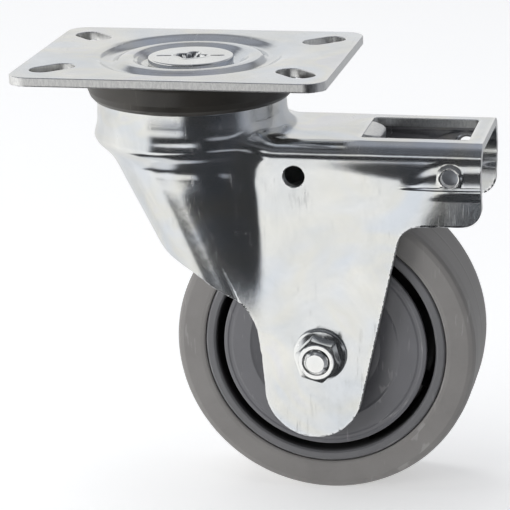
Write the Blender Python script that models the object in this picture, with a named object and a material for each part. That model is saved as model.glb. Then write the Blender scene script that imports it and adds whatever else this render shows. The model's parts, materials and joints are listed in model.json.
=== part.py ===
"""Swivel castor with a slotted top plate, a pressed steel fork and a rubber-tyred wheel.

Metres, +Z up. The origin is on the swivel axis, at the height of the top plate's upper face.
+X is the way the wheel trails, and the near side is at -Y.
"""

import math

import bmesh
import bpy
from mathutils import Matrix, Vector

MM = 0.001
GAP = 0.3 * MM

# Top plate
PLATE_LENGTH = 104.0 * MM
PLATE_WIDTH = 79.2 * MM
PLATE_THICK = 3.0 * MM
PLATE_CORNER = 7.0 * MM
SLOT_X = 40.2 * MM
SLOT_Y = 24.7 * MM
SLOT_WIDTH = 8.8 * MM
SLOT_LENGTH = 15.6 * MM
PRESSING_OUTER = 33.0 * MM
PRESSING_VALLEY = 26.5 * MM
PRESSING_DEPTH = 2.0 * MM
PRESSING_CREST = 21.6 * MM
CREST_DROP = 0.45 * MM
SEAT_RADIUS = 15.6 * MM
SEAT_DROP = 3.0 * MM

# Kingpin and the two ball races of the swivel head
KINGPIN_HEAD = 14.2 * MM
KINGPIN_TOP = -0.5 * MM
KINGPIN_SHANK = 8.3 * MM
KINGPIN_BORE = 3.2 * MM
KINGPIN_FOOT = 12.5 * MM
KINGPIN_BOTTOM = -24.6 * MM
UPPER_BALL = 3.0 * MM
UPPER_PITCH = 24.0 * MM
UPPER_COUNT = 14
LOWER_BALL = 2.5 * MM
LOWER_PITCH = 15.0 * MM
LOWER_COUNT = 10
CAGE_WIDTH = 2.4 * MM
CAGE_THICK = 1.2 * MM

# Fork
SHEET = 3.0 * MM
CROWN_TOP = -11.0 * MM
CROWN_RADIUS = 31.6 * MM
CROWN_BULGE = 32.8 * MM
CROWN_BORE = 9.5 * MM
LEG_OUTER = 23.0 * MM
CHANNEL_START = 18.0 * MM
DECK_TOP = -23.2 * MM
DECK_BEND = 5.6 * MM
REAR_END = 99.0 * MM
REAR_UNDER = -50.1 * MM
REAR_CORNER = 6.3 * MM
WINDOW_START = 59.0 * MM
WINDOW_END = 94.0 * MM
WINDOW_HALF = 13.3 * MM
TONGUE_END = 65.5 * MM
TONGUE_HALF = 9.0 * MM
TONGUE_DROP = 2.0 * MM
PIVOT_HOLE_X = 38.5 * MM
PIVOT_HOLE_Z = -34.5 * MM
PIVOT_HOLE_RADIUS = 3.5 * MM
REAR_HOLE_X = 89.0 * MM
REAR_HOLE_Z = -33.5 * MM
REAR_HOLE_RADIUS = 2.7 * MM
RIM_RADIUS = 3.7 * MM
RIM_HEIGHT = 0.7 * MM
LEG_FOOT_X = 43.6 * MM
LEG_FOOT_Z = -107.7 * MM
LEG_FOOT_RADIUS = 16.3 * MM

# Wheel, whose axle trails the swivel axis
AXLE_X = 46.2 * MM
AXLE_Z = -94.7 * MM
WHEEL_RADIUS = 50.5 * MM
TYRE_HALF = 16.0 * MM
TYRE_BORE = 40.6 * MM
SHOULDER = 1.6 * MM
RIM_OUTER = TYRE_BORE - GAP
RIM_INNER = 37.1 * MM
WEB_HALF = 2.5 * MM
HUB_OUTER = 18.5 * MM
HUB_HALF = 12.8 * MM
RIB_COUNT = 8
RIB_THICK = 2.4 * MM
RIB_HALF = 11.5 * MM
GUARD_RADIUS = 34.2 * MM
GUARD_DISH = 24.5 * MM
GUARD_HOLE = 8.4 * MM
GUARD_THICK = 1.6 * MM
GUARD_RIM_Y = 15.2 * MM
GUARD_BOSS_Y = 16.6 * MM

# Ball bearings of the 12 x 28 x 8 mm size, and what holds them on the axle
BEARING_OUTER = 14.0 * MM
BEARING_BORE = 6.0 * MM
BEARING_WIDTH = 8.0 * MM
BEARING_CENTRE_Y = 8.5 * MM
BEARING_BALL = 2.4 * MM
BEARING_PITCH = 10.0 * MM
BEARING_BALLS = 7
TUBE_OUTER = BEARING_BORE - GAP
TUBE_INNER = 4.3 * MM
TUBE_HALF = 19.7 * MM
SPACER_OUTER = 8.0 * MM
BOLT_RADIUS = 4.0 * MM
BOLT_HOLE = 4.35 * MM
BOLT_END_Y = -32.7 * MM
BOLT_HEAD_HEIGHT = 5.3 * MM
HEX_FLATS = 13.0 * MM
HEX_TURN = math.radians(15.0)
BOLT_STEPS = 24
NUT_HEIGHT = 7.9 * MM
NUT_FLANGE = 8.85 * MM
NUT_FLANGE_THICK = 1.4 * MM

STEPS = 36
FINE_STEPS = 56
SMALL_STEPS = 24
AXLE = (AXLE_X, 0.0, AXLE_Z)
ALONG_AXLE = Matrix.Rotation(math.radians(90.0), 4, "X")


def clear_scene():
    for obj in list(bpy.data.objects):
        bpy.data.objects.remove(obj, do_unlink=True)


def material(name, colour, roughness, metallic):
    made = bpy.data.materials.new(name)
    made.use_nodes = True
    shader = made.node_tree.nodes["Principled BSDF"]
    shader.inputs["Base Color"].default_value = (*colour, 1.0)
    shader.inputs["Roughness"].default_value = roughness
    shader.inputs["Metallic"].default_value = metallic
    return made


def add_object(name, bm, parent=None, look=None, smooth_angle=35.0):
    """Turns a bmesh into a named object and frees the bmesh."""
    bmesh.ops.recalc_face_normals(bm, faces=bm.faces)
    mesh = bpy.data.meshes.new(name)
    bm.to_mesh(mesh)
    bm.free()
    mesh.shade_smooth()
    mesh.set_sharp_from_angle(angle=math.radians(smooth_angle))
    obj = bpy.data.objects.new(name, mesh)
    bpy.context.scene.collection.objects.link(obj)
    obj.parent = parent
    if look:
        mesh.materials.append(look)
    return obj


def empty(name, location, parent=None):
    obj = bpy.data.objects.new(name, None)
    bpy.context.scene.collection.objects.link(obj)
    obj.location = location
    obj.parent = parent
    return obj


def as_tool(obj):
    """Marks an object as a cutter or filler that isn't a part of its own."""
    obj.hide_render = True
    obj.display_type = "WIRE"
    return obj


def boolean(target, tool, operation):
    modifier = target.modifiers.new(f"{operation.lower()}_{tool.name}", "BOOLEAN")
    modifier.operation = operation
    modifier.solver = "EXACT"
    modifier.object = as_tool(tool)


def swept(profile_at, steps=STEPS):
    """A closed body about Z from the outline of (radius, height) points that each angle asks for.

    A radius of zero is a pole, and every angle's outline has the same number of points.
    """
    angles = [2.0 * math.pi * i / steps for i in range(steps)]
    outlines = [profile_at(angle) for angle in angles]
    bm = bmesh.new()
    rings = []
    for level in range(len(outlines[0])):
        radius, height = outlines[0][level]
        if radius < 1e-9:
            rings.append([bm.verts.new((0.0, 0.0, height))])
            continue
        ring = []
        for angle, outline in zip(angles, outlines):
            radius, height = outline[level]
            ring.append(bm.verts.new((radius * math.cos(angle), radius * math.sin(angle), height)))
        rings.append(ring)
    for here, there in zip(rings, rings[1:] + rings[:1]):
        if len(here) == 1 and len(there) == 1:
            continue
        for i in range(steps):
            j = (i + 1) % steps
            corners = [here[i % len(here)], here[j % len(here)], there[j % len(there)], there[i % len(there)]]
            bm.faces.new(list(dict.fromkeys(corners)))
    return bm


def turned(profile, steps=STEPS):
    """Spins a closed outline of (radius, height) points about Z."""
    return swept(lambda angle: profile, steps)


def extruded(outline, low, high):
    """A prism: an outline of (x, y) points between two heights."""
    bm = bmesh.new()
    bottom = [bm.verts.new((x, y, low)) for x, y in outline]
    top = [bm.verts.new((x, y, high)) for x, y in outline]
    bm.faces.new(bottom)
    bm.faces.new(top)
    for i in range(len(outline)):
        j = (i + 1) % len(outline)
        bm.faces.new((bottom[i], bottom[j], top[j], top[i]))
    return bm


def lofted(sections):
    """A closed body through rings of 3-D points with the same count, capped at both ends."""
    bm = bmesh.new()
    rings = [[bm.verts.new(point) for point in ring] for ring in sections]
    bm.faces.new(rings[0])
    bm.faces.new(rings[-1])
    for here, there in zip(rings, rings[1:]):
        for i in range(len(here)):
            j = (i + 1) % len(here)
            bm.faces.new((here[i], here[j], there[j], there[i]))
    return bm


def arc(centre_x, centre_y, radius, start, end, steps):
    """Points from the start angle to the end angle, in degrees."""
    points = []
    for i in range(steps + 1):
        angle = math.radians(start + (end - start) * i / steps)
        points.append((centre_x + radius * math.cos(angle), centre_y + radius * math.sin(angle)))
    return points


def rounded_rectangle(half_x, half_y, radius, steps):
    outline = []
    for turn, (sx, sy) in enumerate(((1, 1), (-1, 1), (-1, -1), (1, -1))):
        centre = (sx * (half_x - radius), sy * (half_y - radius))
        outline += arc(*centre, radius, 90.0 * turn, 90.0 * (turn + 1), steps)
    return outline


def cylinder_along_y(name, radius, low, high, x, z, steps=20):
    bm = extruded(arc(0.0, 0.0, radius, 0.0, 360.0 * (steps - 1) / steps, steps - 1), -high, -low)
    bm.transform(Matrix.Translation((x, 0.0, z)) @ ALONG_AXLE)
    return add_object(name, bm)


# Swivel head -----------------------------------------------------------------------------------


def pressing_profile():
    """Upper face of the pressing, from its soft outer edge to the pin's seat, as (radius, height)."""
    return [
        (PRESSING_OUTER, 0.0),
        (31.4 * MM, -0.3 * MM),
        (29.2 * MM, -1.5 * MM),
        (PRESSING_VALLEY + 0.8 * MM, -PRESSING_DEPTH),
        (PRESSING_VALLEY - 0.8 * MM, -PRESSING_DEPTH),
        (23.6 * MM, -1.1 * MM),
        (PRESSING_CREST + 0.4 * MM, -CREST_DROP),
        (PRESSING_CREST - 0.8 * MM, -CREST_DROP),
        (18.4 * MM, -1.5 * MM),
        (SEAT_RADIUS, -SEAT_DROP),
    ]


def top_plate(parent, look):
    """A slotted plate whose middle is pressed down round the pin's seat, all in one sheet."""
    slab = extruded(rounded_rectangle(PLATE_LENGTH / 2, PLATE_WIDTH / 2, PLATE_CORNER, 6), -PLATE_THICK, 0.0)
    plate = add_object("top_plate", slab, parent, look)
    upper = pressing_profile()
    lower = [(radius, height - PLATE_THICK) for radius, height in upper[1:]]
    inside = 5.0 * MM
    under = [(inside, -1.0 * MM), (PRESSING_OUTER, -1.0 * MM), (PRESSING_OUTER, -PLATE_THICK + 0.4 * MM)]
    under += lower + [(inside, -SEAT_DROP - PLATE_THICK)]
    boolean(plate, add_object("pressing_underside", turned(under, 44)), "UNION")
    above = [(0.0, 6.0 * MM), (PRESSING_OUTER + 0.8 * MM, 6.0 * MM), (PRESSING_OUTER + 0.8 * MM, 0.25 * MM)]
    above += upper[1:] + [(0.0, -SEAT_DROP)]
    boolean(plate, add_object("pressing_cutter", turned(above, 44)), "DIFFERENCE")
    bore = extruded(arc(0.0, 0.0, KINGPIN_SHANK + GAP, 0.0, 360.0 * 27 / 28, 27), -12.0 * MM, 4.0 * MM)
    boolean(plate, add_object("pin_bore", bore), "DIFFERENCE")
    straight = (SLOT_LENGTH - SLOT_WIDTH) / 2
    outline = arc(straight, 0.0, SLOT_WIDTH / 2, -90.0, 90.0, 6)
    outline += arc(-straight, 0.0, SLOT_WIDTH / 2, 90.0, 270.0, 6)
    for sx in (-1, 1):
        for sy in (-1, 1):
            cutter = add_object(f"slot_cutter_{sx + 1}{sy + 1}", extruded(outline, -8.0 * MM, 4.0 * MM))
            cutter.location = (sx * SLOT_X, sy * SLOT_Y, 0.0)
            cutter.rotation_euler = (0.0, 0.0, math.radians(45.0 * sx * sy))
            boolean(plate, cutter, "DIFFERENCE")


def kingpin(parent, look):
    seat = -SEAT_DROP + GAP
    foot = KINGPIN_BOTTOM + 2.2 * MM
    chamfer = 0.5 * MM
    profile = [
        (KINGPIN_BORE, KINGPIN_TOP - 1.0 * MM),
        (KINGPIN_BORE + 1.6 * MM, KINGPIN_TOP),
        (KINGPIN_HEAD - chamfer, KINGPIN_TOP),
        (KINGPIN_HEAD, KINGPIN_TOP - chamfer),
        (KINGPIN_HEAD, seat),
        (KINGPIN_SHANK, seat),
        (KINGPIN_SHANK, foot),
        (KINGPIN_FOOT, foot),
        (KINGPIN_FOOT - chamfer, KINGPIN_BOTTOM),
        (KINGPIN_BORE, KINGPIN_BOTTOM),
    ]
    add_object("kingpin", turned(profile, 28), parent, look)


def lower_race(parent, look):
    """The cup under the fork's crown that carries the lower balls; the kingpin's foot holds it."""
    top = CROWN_TOP - SHEET - GAP - 2 * LOWER_BALL - GAP
    bottom = top - 2.5 * MM
    lip_in, lip_out = 18.4 * MM, 20.4 * MM
    inner = KINGPIN_SHANK + GAP
    profile = [
        (inner, top),
        (LOWER_PITCH - 1.2 * MM, top),
        (lip_in, top + 1.0 * MM),
        (lip_in, top + 2.6 * MM),
        (lip_out, top + 2.6 * MM),
        (lip_out, bottom + 1.5 * MM),
        (lip_out - 1.5 * MM, bottom),
        (inner, bottom),
    ]
    add_object("lower_race", turned(profile, 28), parent, look)


def ball_cage(name, pitch, ball, count, parent, look, thick=CAGE_THICK, width=CAGE_WIDTH):
    """A ring of balls and the flat cage that spaces them, as one body about its parent's Z."""
    ring = [
        (pitch - width / 2, thick / 2),
        (pitch + width / 2, thick / 2),
        (pitch + width / 2, -thick / 2),
        (pitch - width / 2, -thick / 2),
    ]
    cage = add_object(name, turned(ring, 2 * count), parent, look)
    bm = bmesh.new()
    for i in range(count):
        angle = 2.0 * math.pi * i / count
        place = Matrix.Translation((pitch * math.cos(angle), pitch * math.sin(angle), 0.0))
        bmesh.ops.create_uvsphere(bm, u_segments=8, v_segments=4, radius=ball, matrix=place)
    boolean(cage, add_object(f"{name}_balls", bm, parent), "UNION")
    return cage


def dust_seal(parent, look):
    """A ring clipped on the crown's rim, which closes the gap under the top plate."""
    outer = 34.5 * MM
    profile = [
        (33.2 * MM, -3.4 * MM),
        (outer, -4.0 * MM),
        (outer, -9.6 * MM),
        (outer - 0.5 * MM, -11.4 * MM),
        (outer - 1.6 * MM, -13.2 * MM),
        (CROWN_RADIUS + GAP, -13.2 * MM),
        (CROWN_RADIUS + GAP, CROWN_TOP + GAP),
        (28.2 * MM, CROWN_TOP + GAP),
        (28.2 * MM, -7.4 * MM),
        (31.0 * MM, -5.6 * MM),
    ]
    add_object("dust_seal", turned(profile), parent, look)


# Fork ------------------------------------------------------------------------------------------


def front_sections(inset, top, shoulder):
    """Levels of the fork's round front as (height, centre x, radius), from the crown down.

    Below the crown the round front shrinks and its centre moves back, so it narrows into the legs.
    """
    levels = [
        (top, 0.0, CROWN_RADIUS - shoulder),
        (top - 0.3 * shoulder, 0.0, CROWN_RADIUS - 0.3 * shoulder),
        (top - shoulder, 0.0, CROWN_RADIUS),
        (-19.0 * MM, 0.0, CROWN_RADIUS + 0.1 * MM),
        (-24.0 * MM, 0.0, CROWN_BULGE - 0.6 * MM),
        (-25.4 * MM, 0.0, CROWN_BULGE),
        (-27.4 * MM, 0.2 * MM, CROWN_BULGE - 0.4 * MM),
        (-29.4 * MM, 1.4 * MM, CROWN_BULGE - 1.9 * MM),
        (-32.0 * MM, 3.0 * MM, CROWN_BULGE - 3.1 * MM),
    ]
    start_z, start_x, start_radius = -36.0 * MM, 4.5 * MM, 29.5 * MM
    for step in range(5):
        fall = 12.0 * MM * step
        levels.append((start_z - fall, start_x + 0.333 * fall, start_radius - 0.16 * fall))
    return [(z, x, radius - inset) for z, x, radius in levels]


def front_body(name, inset, top, shoulder):
    rings = []
    for z, x, radius in front_sections(inset, top, shoulder):
        rings.append([(px, py, z) for px, py in arc(x, 0.0, radius, 0.0, 360.0 * 39 / 40, 39)])
    return lofted(rings)


def channel_body(half_width, top, bend, start, end):
    """The inverted U of the legs and the rear deck, closed at the bottom, along X."""
    floor = -130.0 * MM
    section = [(-half_width, floor)]
    section += arc(-half_width + bend, top - bend, bend, 180.0, 90.0, 5)
    section += arc(half_width - bend, top - bend, bend, 90.0, 0.0, 5)
    section.append((half_width, floor))
    return lofted([[(x, y, z) for y, z in section] for x in (start, end)])


def side_outline():
    """The fork's outline seen from the side, as (x, z) points, anticlockwise from the rear top."""
    mm = [
        (-45.0, 0.0),
        (-45.0, -46.0),
        (-14.5, -60.2),
        (-5.5, -64.6),
        (3.5, -68.6),
        (11.0, -73.6),
        (17.6, -77.0),
        (21.0, -79.6),
        (23.6, -83.2),
        (25.1, -87.4),
        (26.2, -98.0),
    ]
    outline = [(x * MM, z * MM) for x, z in mm]
    outline += arc(LEG_FOOT_X, LEG_FOOT_Z, LEG_FOOT_RADIUS, 178.0, 350.0, 18)
    outline += arc(79.5 * MM, -57.7 * MM, 7.6 * MM, 170.0, 90.0, 8)
    outline += arc(REAR_END - REAR_CORNER, REAR_UNDER + REAR_CORNER, REAR_CORNER, 270.0, 360.0, 8)
    outline.append((REAR_END, 0.0))
    return outline


def tongue(name):
    """The tab left at the front of the deck's window, bent down towards its round end."""
    outline = [(WINDOW_START - 3.0 * MM, -TONGUE_HALF), (WINDOW_START, -TONGUE_HALF)]
    outline += arc(TONGUE_END - 5.5 * MM, 0.0, 5.5 * MM, -60.0, 60.0, 8)
    outline += [(WINDOW_START, TONGUE_HALF), (WINDOW_START - 3.0 * MM, TONGUE_HALF)]
    bm = extruded(outline, DECK_TOP - SHEET + 0.2 * MM, DECK_TOP - 0.2 * MM)
    for vert in bm.verts:
        reach = max(0.0, (vert.co.x - WINDOW_START + 1.0 * MM) / (TONGUE_END - WINDOW_START))
        vert.co.z -= TONGUE_DROP * reach
    return add_object(name, bm)


def fork(parent, look):
    body = add_object("fork", front_body("crown", 0.0, CROWN_TOP, 2.6 * MM), parent, look, 25.0)
    channel = channel_body(LEG_OUTER, DECK_TOP, DECK_BEND, CHANNEL_START, REAR_END + 5.0 * MM)
    boolean(body, add_object("channel_outer", channel), "UNION")
    hollow = front_body("crown_inside", SHEET, CROWN_TOP - SHEET, 1.6 * MM)
    boolean(body, add_object("crown_hollow", hollow), "DIFFERENCE")
    inner_bend = DECK_BEND - SHEET
    inside = channel_body(LEG_OUTER - SHEET, DECK_TOP - SHEET, inner_bend, CHANNEL_START, REAR_END + 9.0 * MM)
    boolean(body, add_object("channel_hollow", inside), "DIFFERENCE")
    side = extruded(side_outline(), -60.0 * MM, 60.0 * MM)
    side.transform(ALONG_AXLE)
    boolean(body, add_object("side_trim", side), "INTERSECT")
    window = rounded_rectangle((WINDOW_END - WINDOW_START) / 2, WINDOW_HALF, 1.2 * MM, 3)
    opening = extruded(window, DECK_TOP - 8.0 * MM, DECK_TOP + 5.0 * MM)
    opening.transform(Matrix.Translation(((WINDOW_START + WINDOW_END) / 2, 0.0, 0.0)))
    boolean(body, add_object("window_cutter", opening), "DIFFERENCE")
    boolean(body, tongue("window_tongue"), "UNION")
    for side_name, low, high in (("near", -1, 0), ("far", 0, 1)):
        reach = LEG_OUTER + RIM_HEIGHT
        span = sorted((low * reach + high * (LEG_OUTER - 1.0 * MM), high * reach + low * (LEG_OUTER - 1.0 * MM)))
        rim = cylinder_along_y(f"{side_name}_hole_rim", RIM_RADIUS, *span, REAR_HOLE_X, REAR_HOLE_Z)
        boolean(body, rim, "UNION")
    width = 40.0 * MM
    holes = (
        ("rear_hole", REAR_HOLE_RADIUS, REAR_HOLE_X, REAR_HOLE_Z),
        ("pivot_hole", PIVOT_HOLE_RADIUS, PIVOT_HOLE_X, PIVOT_HOLE_Z),
        ("axle_hole", BOLT_HOLE, AXLE_X, AXLE_Z),
    )
    for name, radius, x, z in holes:
        boolean(body, cylinder_along_y(f"{name}_cutter", radius, -width, width, x, z), "DIFFERENCE")
    bore = extruded(arc(0.0, 0.0, CROWN_BORE, 0.0, 360.0 * 31 / 32, 31), CROWN_TOP - 6.0 * MM, CROWN_TOP + 3.0 * MM)
    boolean(body, add_object("crown_bore_cutter", bore), "DIFFERENCE")


# Axle ------------------------------------------------------------------------------------------


def hex_radius(angle):
    """Distance from the centre to the side of the hexagon at this angle."""
    return HEX_FLATS / 2 / math.cos((angle + HEX_TURN) % math.radians(60.0) - math.radians(30.0))


def hex_chamfer(angle):
    """How far below the end face the turned-off corners start at this angle."""
    return 0.55 * (hex_radius(angle) - HEX_FLATS / 2 + 0.25 * MM)


def axle_frame(name, parent):
    """An empty on the axle whose Z points to the near side, which is -Y."""
    frame = empty(name, AXLE, parent)
    frame.rotation_euler = (math.radians(90.0), 0.0, 0.0)
    return frame


def axle_bolt(parent, look):
    """Its hexagonal head is on the far side and its threaded end on the near side."""
    face = -LEG_OUTER - GAP
    back = face - BOLT_HEAD_HEIGHT
    end = -BOLT_END_Y

    def profile(angle):
        return [
            (0.0, end),
            (BOLT_RADIUS - 0.7 * MM, end),
            (BOLT_RADIUS, end - 0.8 * MM),
            (BOLT_RADIUS, face),
            (hex_radius(angle), face),
            (hex_radius(angle), back + hex_chamfer(angle)),
            (HEX_FLATS / 2 - 0.25 * MM, back),
            (0.0, back),
        ]

    add_object("axle_bolt", swept(profile, BOLT_STEPS), parent, look)


def axle_nut(parent, look):
    """A flange nut: a hexagon on a round flange whose upper face is conical."""
    seat = LEG_OUTER + GAP
    top = seat + NUT_HEIGHT
    bore = BOLT_RADIUS + GAP
    cone_foot = NUT_FLANGE - 0.5 * MM

    def profile(angle):
        flank = hex_radius(angle)
        cone_top = seat + NUT_FLANGE_THICK + 0.9 * (cone_foot - flank)
        return [
            (bore, top - 0.6 * MM),
            (bore + 0.8 * MM, top),
            (HEX_FLATS / 2 - 0.25 * MM, top),
            (flank, top - hex_chamfer(angle)),
            (flank, cone_top),
            (cone_foot, seat + NUT_FLANGE_THICK),
            (NUT_FLANGE, seat + NUT_FLANGE_THICK * 0.7),
            (NUT_FLANGE, seat),
            (bore, seat),
        ]

    add_object("axle_nut", swept(profile, BOLT_STEPS), parent, look)


def ring_profile(inner, outer, low, high, chamfer=0.0):
    return [
        (inner, high),
        (outer - chamfer, high),
        (outer, high - chamfer),
        (outer, low + chamfer),
        (outer - chamfer, low),
        (inner, low),
    ]


def plain_ring(name, inner, outer, low, high, parent, look):
    profile = ring_profile(inner, outer, low, high, min(0.3 * MM, (outer - inner) / 4))
    return add_object(name, turned(profile, SMALL_STEPS), parent, look)


def bearing(side, sign, fork_parent, wheel_parent, cage_parent, looks):
    """One ball bearing: inner ring on the axle tube, outer ring in the hub, balls and a seal."""
    centre = -sign * BEARING_CENTRE_Y
    half = BEARING_WIDTH / 2
    groove = 1.9 * MM
    inner_land, inner_floor = BEARING_PITCH - 1.6 * MM, BEARING_PITCH - BEARING_BALL - GAP
    inner = [
        (BEARING_BORE, centre + half),
        (inner_land, centre + half),
        (inner_land, centre + groove),
        (inner_floor, centre + 0.9 * MM),
        (inner_floor, centre - 0.9 * MM),
        (inner_land, centre - groove),
        (inner_land, centre - half),
        (BEARING_BORE, centre - half),
    ]
    add_object(f"{side}_inner_ring", turned(inner, SMALL_STEPS), fork_parent, looks["bearing_steel"])
    outer_land, outer_floor = BEARING_PITCH + 1.6 * MM, BEARING_PITCH + BEARING_BALL + GAP
    outer = [
        (outer_land, centre + half),
        (BEARING_OUTER, centre + half),
        (BEARING_OUTER, centre - half),
        (outer_land, centre - half),
        (outer_land, centre - groove),
        (outer_floor, centre - 0.9 * MM),
        (outer_floor, centre + 0.9 * MM),
        (outer_land, centre + groove),
    ]
    add_object(f"{side}_outer_ring", turned(outer, SMALL_STEPS), wheel_parent, looks["bearing_steel"])
    cage_parent.location = cage_parent.location + Vector((0.0, sign * BEARING_CENTRE_Y, 0.0))
    name = f"{side}_bearing_balls"
    ball_cage(name, BEARING_PITCH, BEARING_BALL, BEARING_BALLS, cage_parent, looks["ball_steel"], 1.0 * MM, 1.4 * MM)
    face = centre - sign * half
    low, high = sorted((face, face + sign * 0.7 * MM))
    land = (inner_land + GAP, outer_land - GAP)
    plain_ring(f"{side}_bearing_seal", *land, low, high, wheel_parent, looks["seal_rubber"])


# Wheel -----------------------------------------------------------------------------------------


def tyre(parent, look):
    side = TYRE_HALF
    crown = 0.3 * MM
    profile = [
        (TYRE_BORE, -side),
        (WHEEL_RADIUS - SHOULDER - crown, -side),
        (WHEEL_RADIUS - crown - 0.4 * MM, -side + 0.55 * MM),
        (WHEEL_RADIUS - crown, -side + SHOULDER),
        (WHEEL_RADIUS, -side / 3),
    ]
    profile += [(radius, -height) for radius, height in reversed(profile)]
    add_object("tyre", turned(profile, FINE_STEPS), parent, look)


def wheel_centre(parent, look):
    """The moulded centre: a rim, a web, a hub bored for both bearings, and ribs on each side."""
    bore, half_hub, half_rim = BEARING_OUTER + GAP, HUB_HALF, TYRE_HALF - 0.2 * MM
    stop = 11.5 * MM
    stop_half = BEARING_CENTRE_Y - BEARING_WIDTH / 2 - GAP
    upper = [
        (stop, stop_half),
        (bore, stop_half),
        (bore, half_hub),
        (HUB_OUTER, half_hub),
        (HUB_OUTER + 0.8 * MM, WEB_HALF),
        (RIM_INNER - 1.2 * MM, WEB_HALF),
        (RIM_INNER, half_rim - 0.6 * MM),
        (RIM_INNER + 0.6 * MM, half_rim),
        (RIM_OUTER - 0.4 * MM, half_rim),
        (RIM_OUTER, half_rim - 0.5 * MM),
    ]
    profile = upper + [(radius, -height) for radius, height in reversed(upper)]
    centre = add_object("wheel_centre", turned(profile, 40), parent, look)
    for i in range(RIB_COUNT):
        half = RIB_THICK / 2
        outline = [(HUB_OUTER - 0.8 * MM, -half), (RIM_INNER + 0.8 * MM, -half)]
        outline += [(RIM_INNER + 0.8 * MM, half), (HUB_OUTER - 0.8 * MM, half)]
        bm = extruded(outline, -RIB_HALF, RIB_HALF)
        bm.transform(Matrix.Rotation(2.0 * math.pi * (i + 0.5) / RIB_COUNT, 4, "Z"))
        boolean(centre, add_object(f"rib_{i}", bm, parent), "UNION")


def thread_guard(side, sign, parent, look):
    """A disc that keeps thread out of the hub, raised round the spacer at its middle."""
    rim, boss = -sign * GUARD_RIM_Y, -sign * GUARD_BOSS_Y
    depth = sign * GUARD_THICK
    face = [
        (GUARD_HOLE, boss),
        (GUARD_DISH - 5.0 * MM, boss),
        (GUARD_DISH - 1.5 * MM, boss + 0.2 * (rim - boss)),
        (GUARD_DISH, rim),
        (GUARD_RADIUS - 0.5 * MM, rim),
        (GUARD_RADIUS, rim + 0.3 * depth),
    ]
    back = [(radius, height + depth) for radius, height in reversed(face[:-1])]
    back.insert(0, (GUARD_RADIUS, rim + depth))
    add_object(f"{side}_thread_guard", turned(face + back, 40), parent, look)


def build():
    clear_scene()
    zinc = material("zinc_plate", (0.74, 0.76, 0.78), 0.22, 1.0)
    bright = material("bright_zinc", (0.80, 0.81, 0.82), 0.18, 1.0)
    dark_seal = material("dark_seal", (0.085, 0.075, 0.065), 0.6, 0.0)
    grey_plastic = material("grey_plastic", (0.125, 0.128, 0.14), 0.42, 0.0)
    grey_rubber = material("grey_rubber", (0.21, 0.195, 0.185), 0.6, 0.0)
    looks = {
        "bearing_steel": material("bearing_steel", (0.62, 0.63, 0.64), 0.25, 1.0),
        "ball_steel": material("ball_steel", (0.70, 0.71, 0.72), 0.12, 1.0),
        "seal_rubber": material("seal_rubber", (0.03, 0.03, 0.03), 0.6, 0.0),
    }

    head = empty("plate_frame", (0.0, 0.0, 0.0))
    top_plate(head, zinc)
    kingpin(head, bright)
    lower_race(head, zinc)

    swivel = empty("swivel_frame", (0.0, 0.0, 0.0))
    fork(swivel, zinc)
    dust_seal(swivel, dark_seal)
    upper_z = CROWN_TOP + GAP + UPPER_BALL
    upper = empty("upper_balls_frame", (0.0, 0.0, upper_z))
    ball_cage("upper_balls", UPPER_PITCH, UPPER_BALL, UPPER_COUNT, upper, looks["ball_steel"])
    lower_z = CROWN_TOP - SHEET - GAP - LOWER_BALL
    lower = empty("lower_balls_frame", (0.0, 0.0, lower_z))
    ball_cage("lower_balls", LOWER_PITCH, LOWER_BALL, LOWER_COUNT, lower, looks["ball_steel"])

    axle = axle_frame("axle_frame", swivel)
    axle_bolt(axle, bright)
    axle_nut(axle, bright)
    plain_ring("axle_tube", TUBE_INNER, TUBE_OUTER, -TUBE_HALF, TUBE_HALF, axle, looks["bearing_steel"])
    wheel = axle_frame("wheel_frame", swivel)
    tyre(wheel, grey_rubber)
    wheel_centre(wheel, grey_plastic)
    for side, sign in (("near", -1), ("far", 1)):
        low, high = sorted((-sign * (HUB_HALF - 0.0 * MM), -sign * TUBE_HALF))
        plain_ring(f"{side}_spacer", TUBE_OUTER + GAP, SPACER_OUTER, low, high, axle, zinc)
        bearing(side, sign, axle, wheel, axle_frame(f"{side}_balls_frame", swivel), looks)
        thread_guard(side, sign, wheel, grey_plastic)


build()
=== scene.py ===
"""A swivel castor in a pale studio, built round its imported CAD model.

Lengths in the shape functions are in millimetres, in the model's frame: +Z up along the swivel
axis, +X the way the wheel trails, and the near side at -Y.
"""

import json
import math

import bpy
import numpy as np
from mathutils import Matrix, Vector


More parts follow.
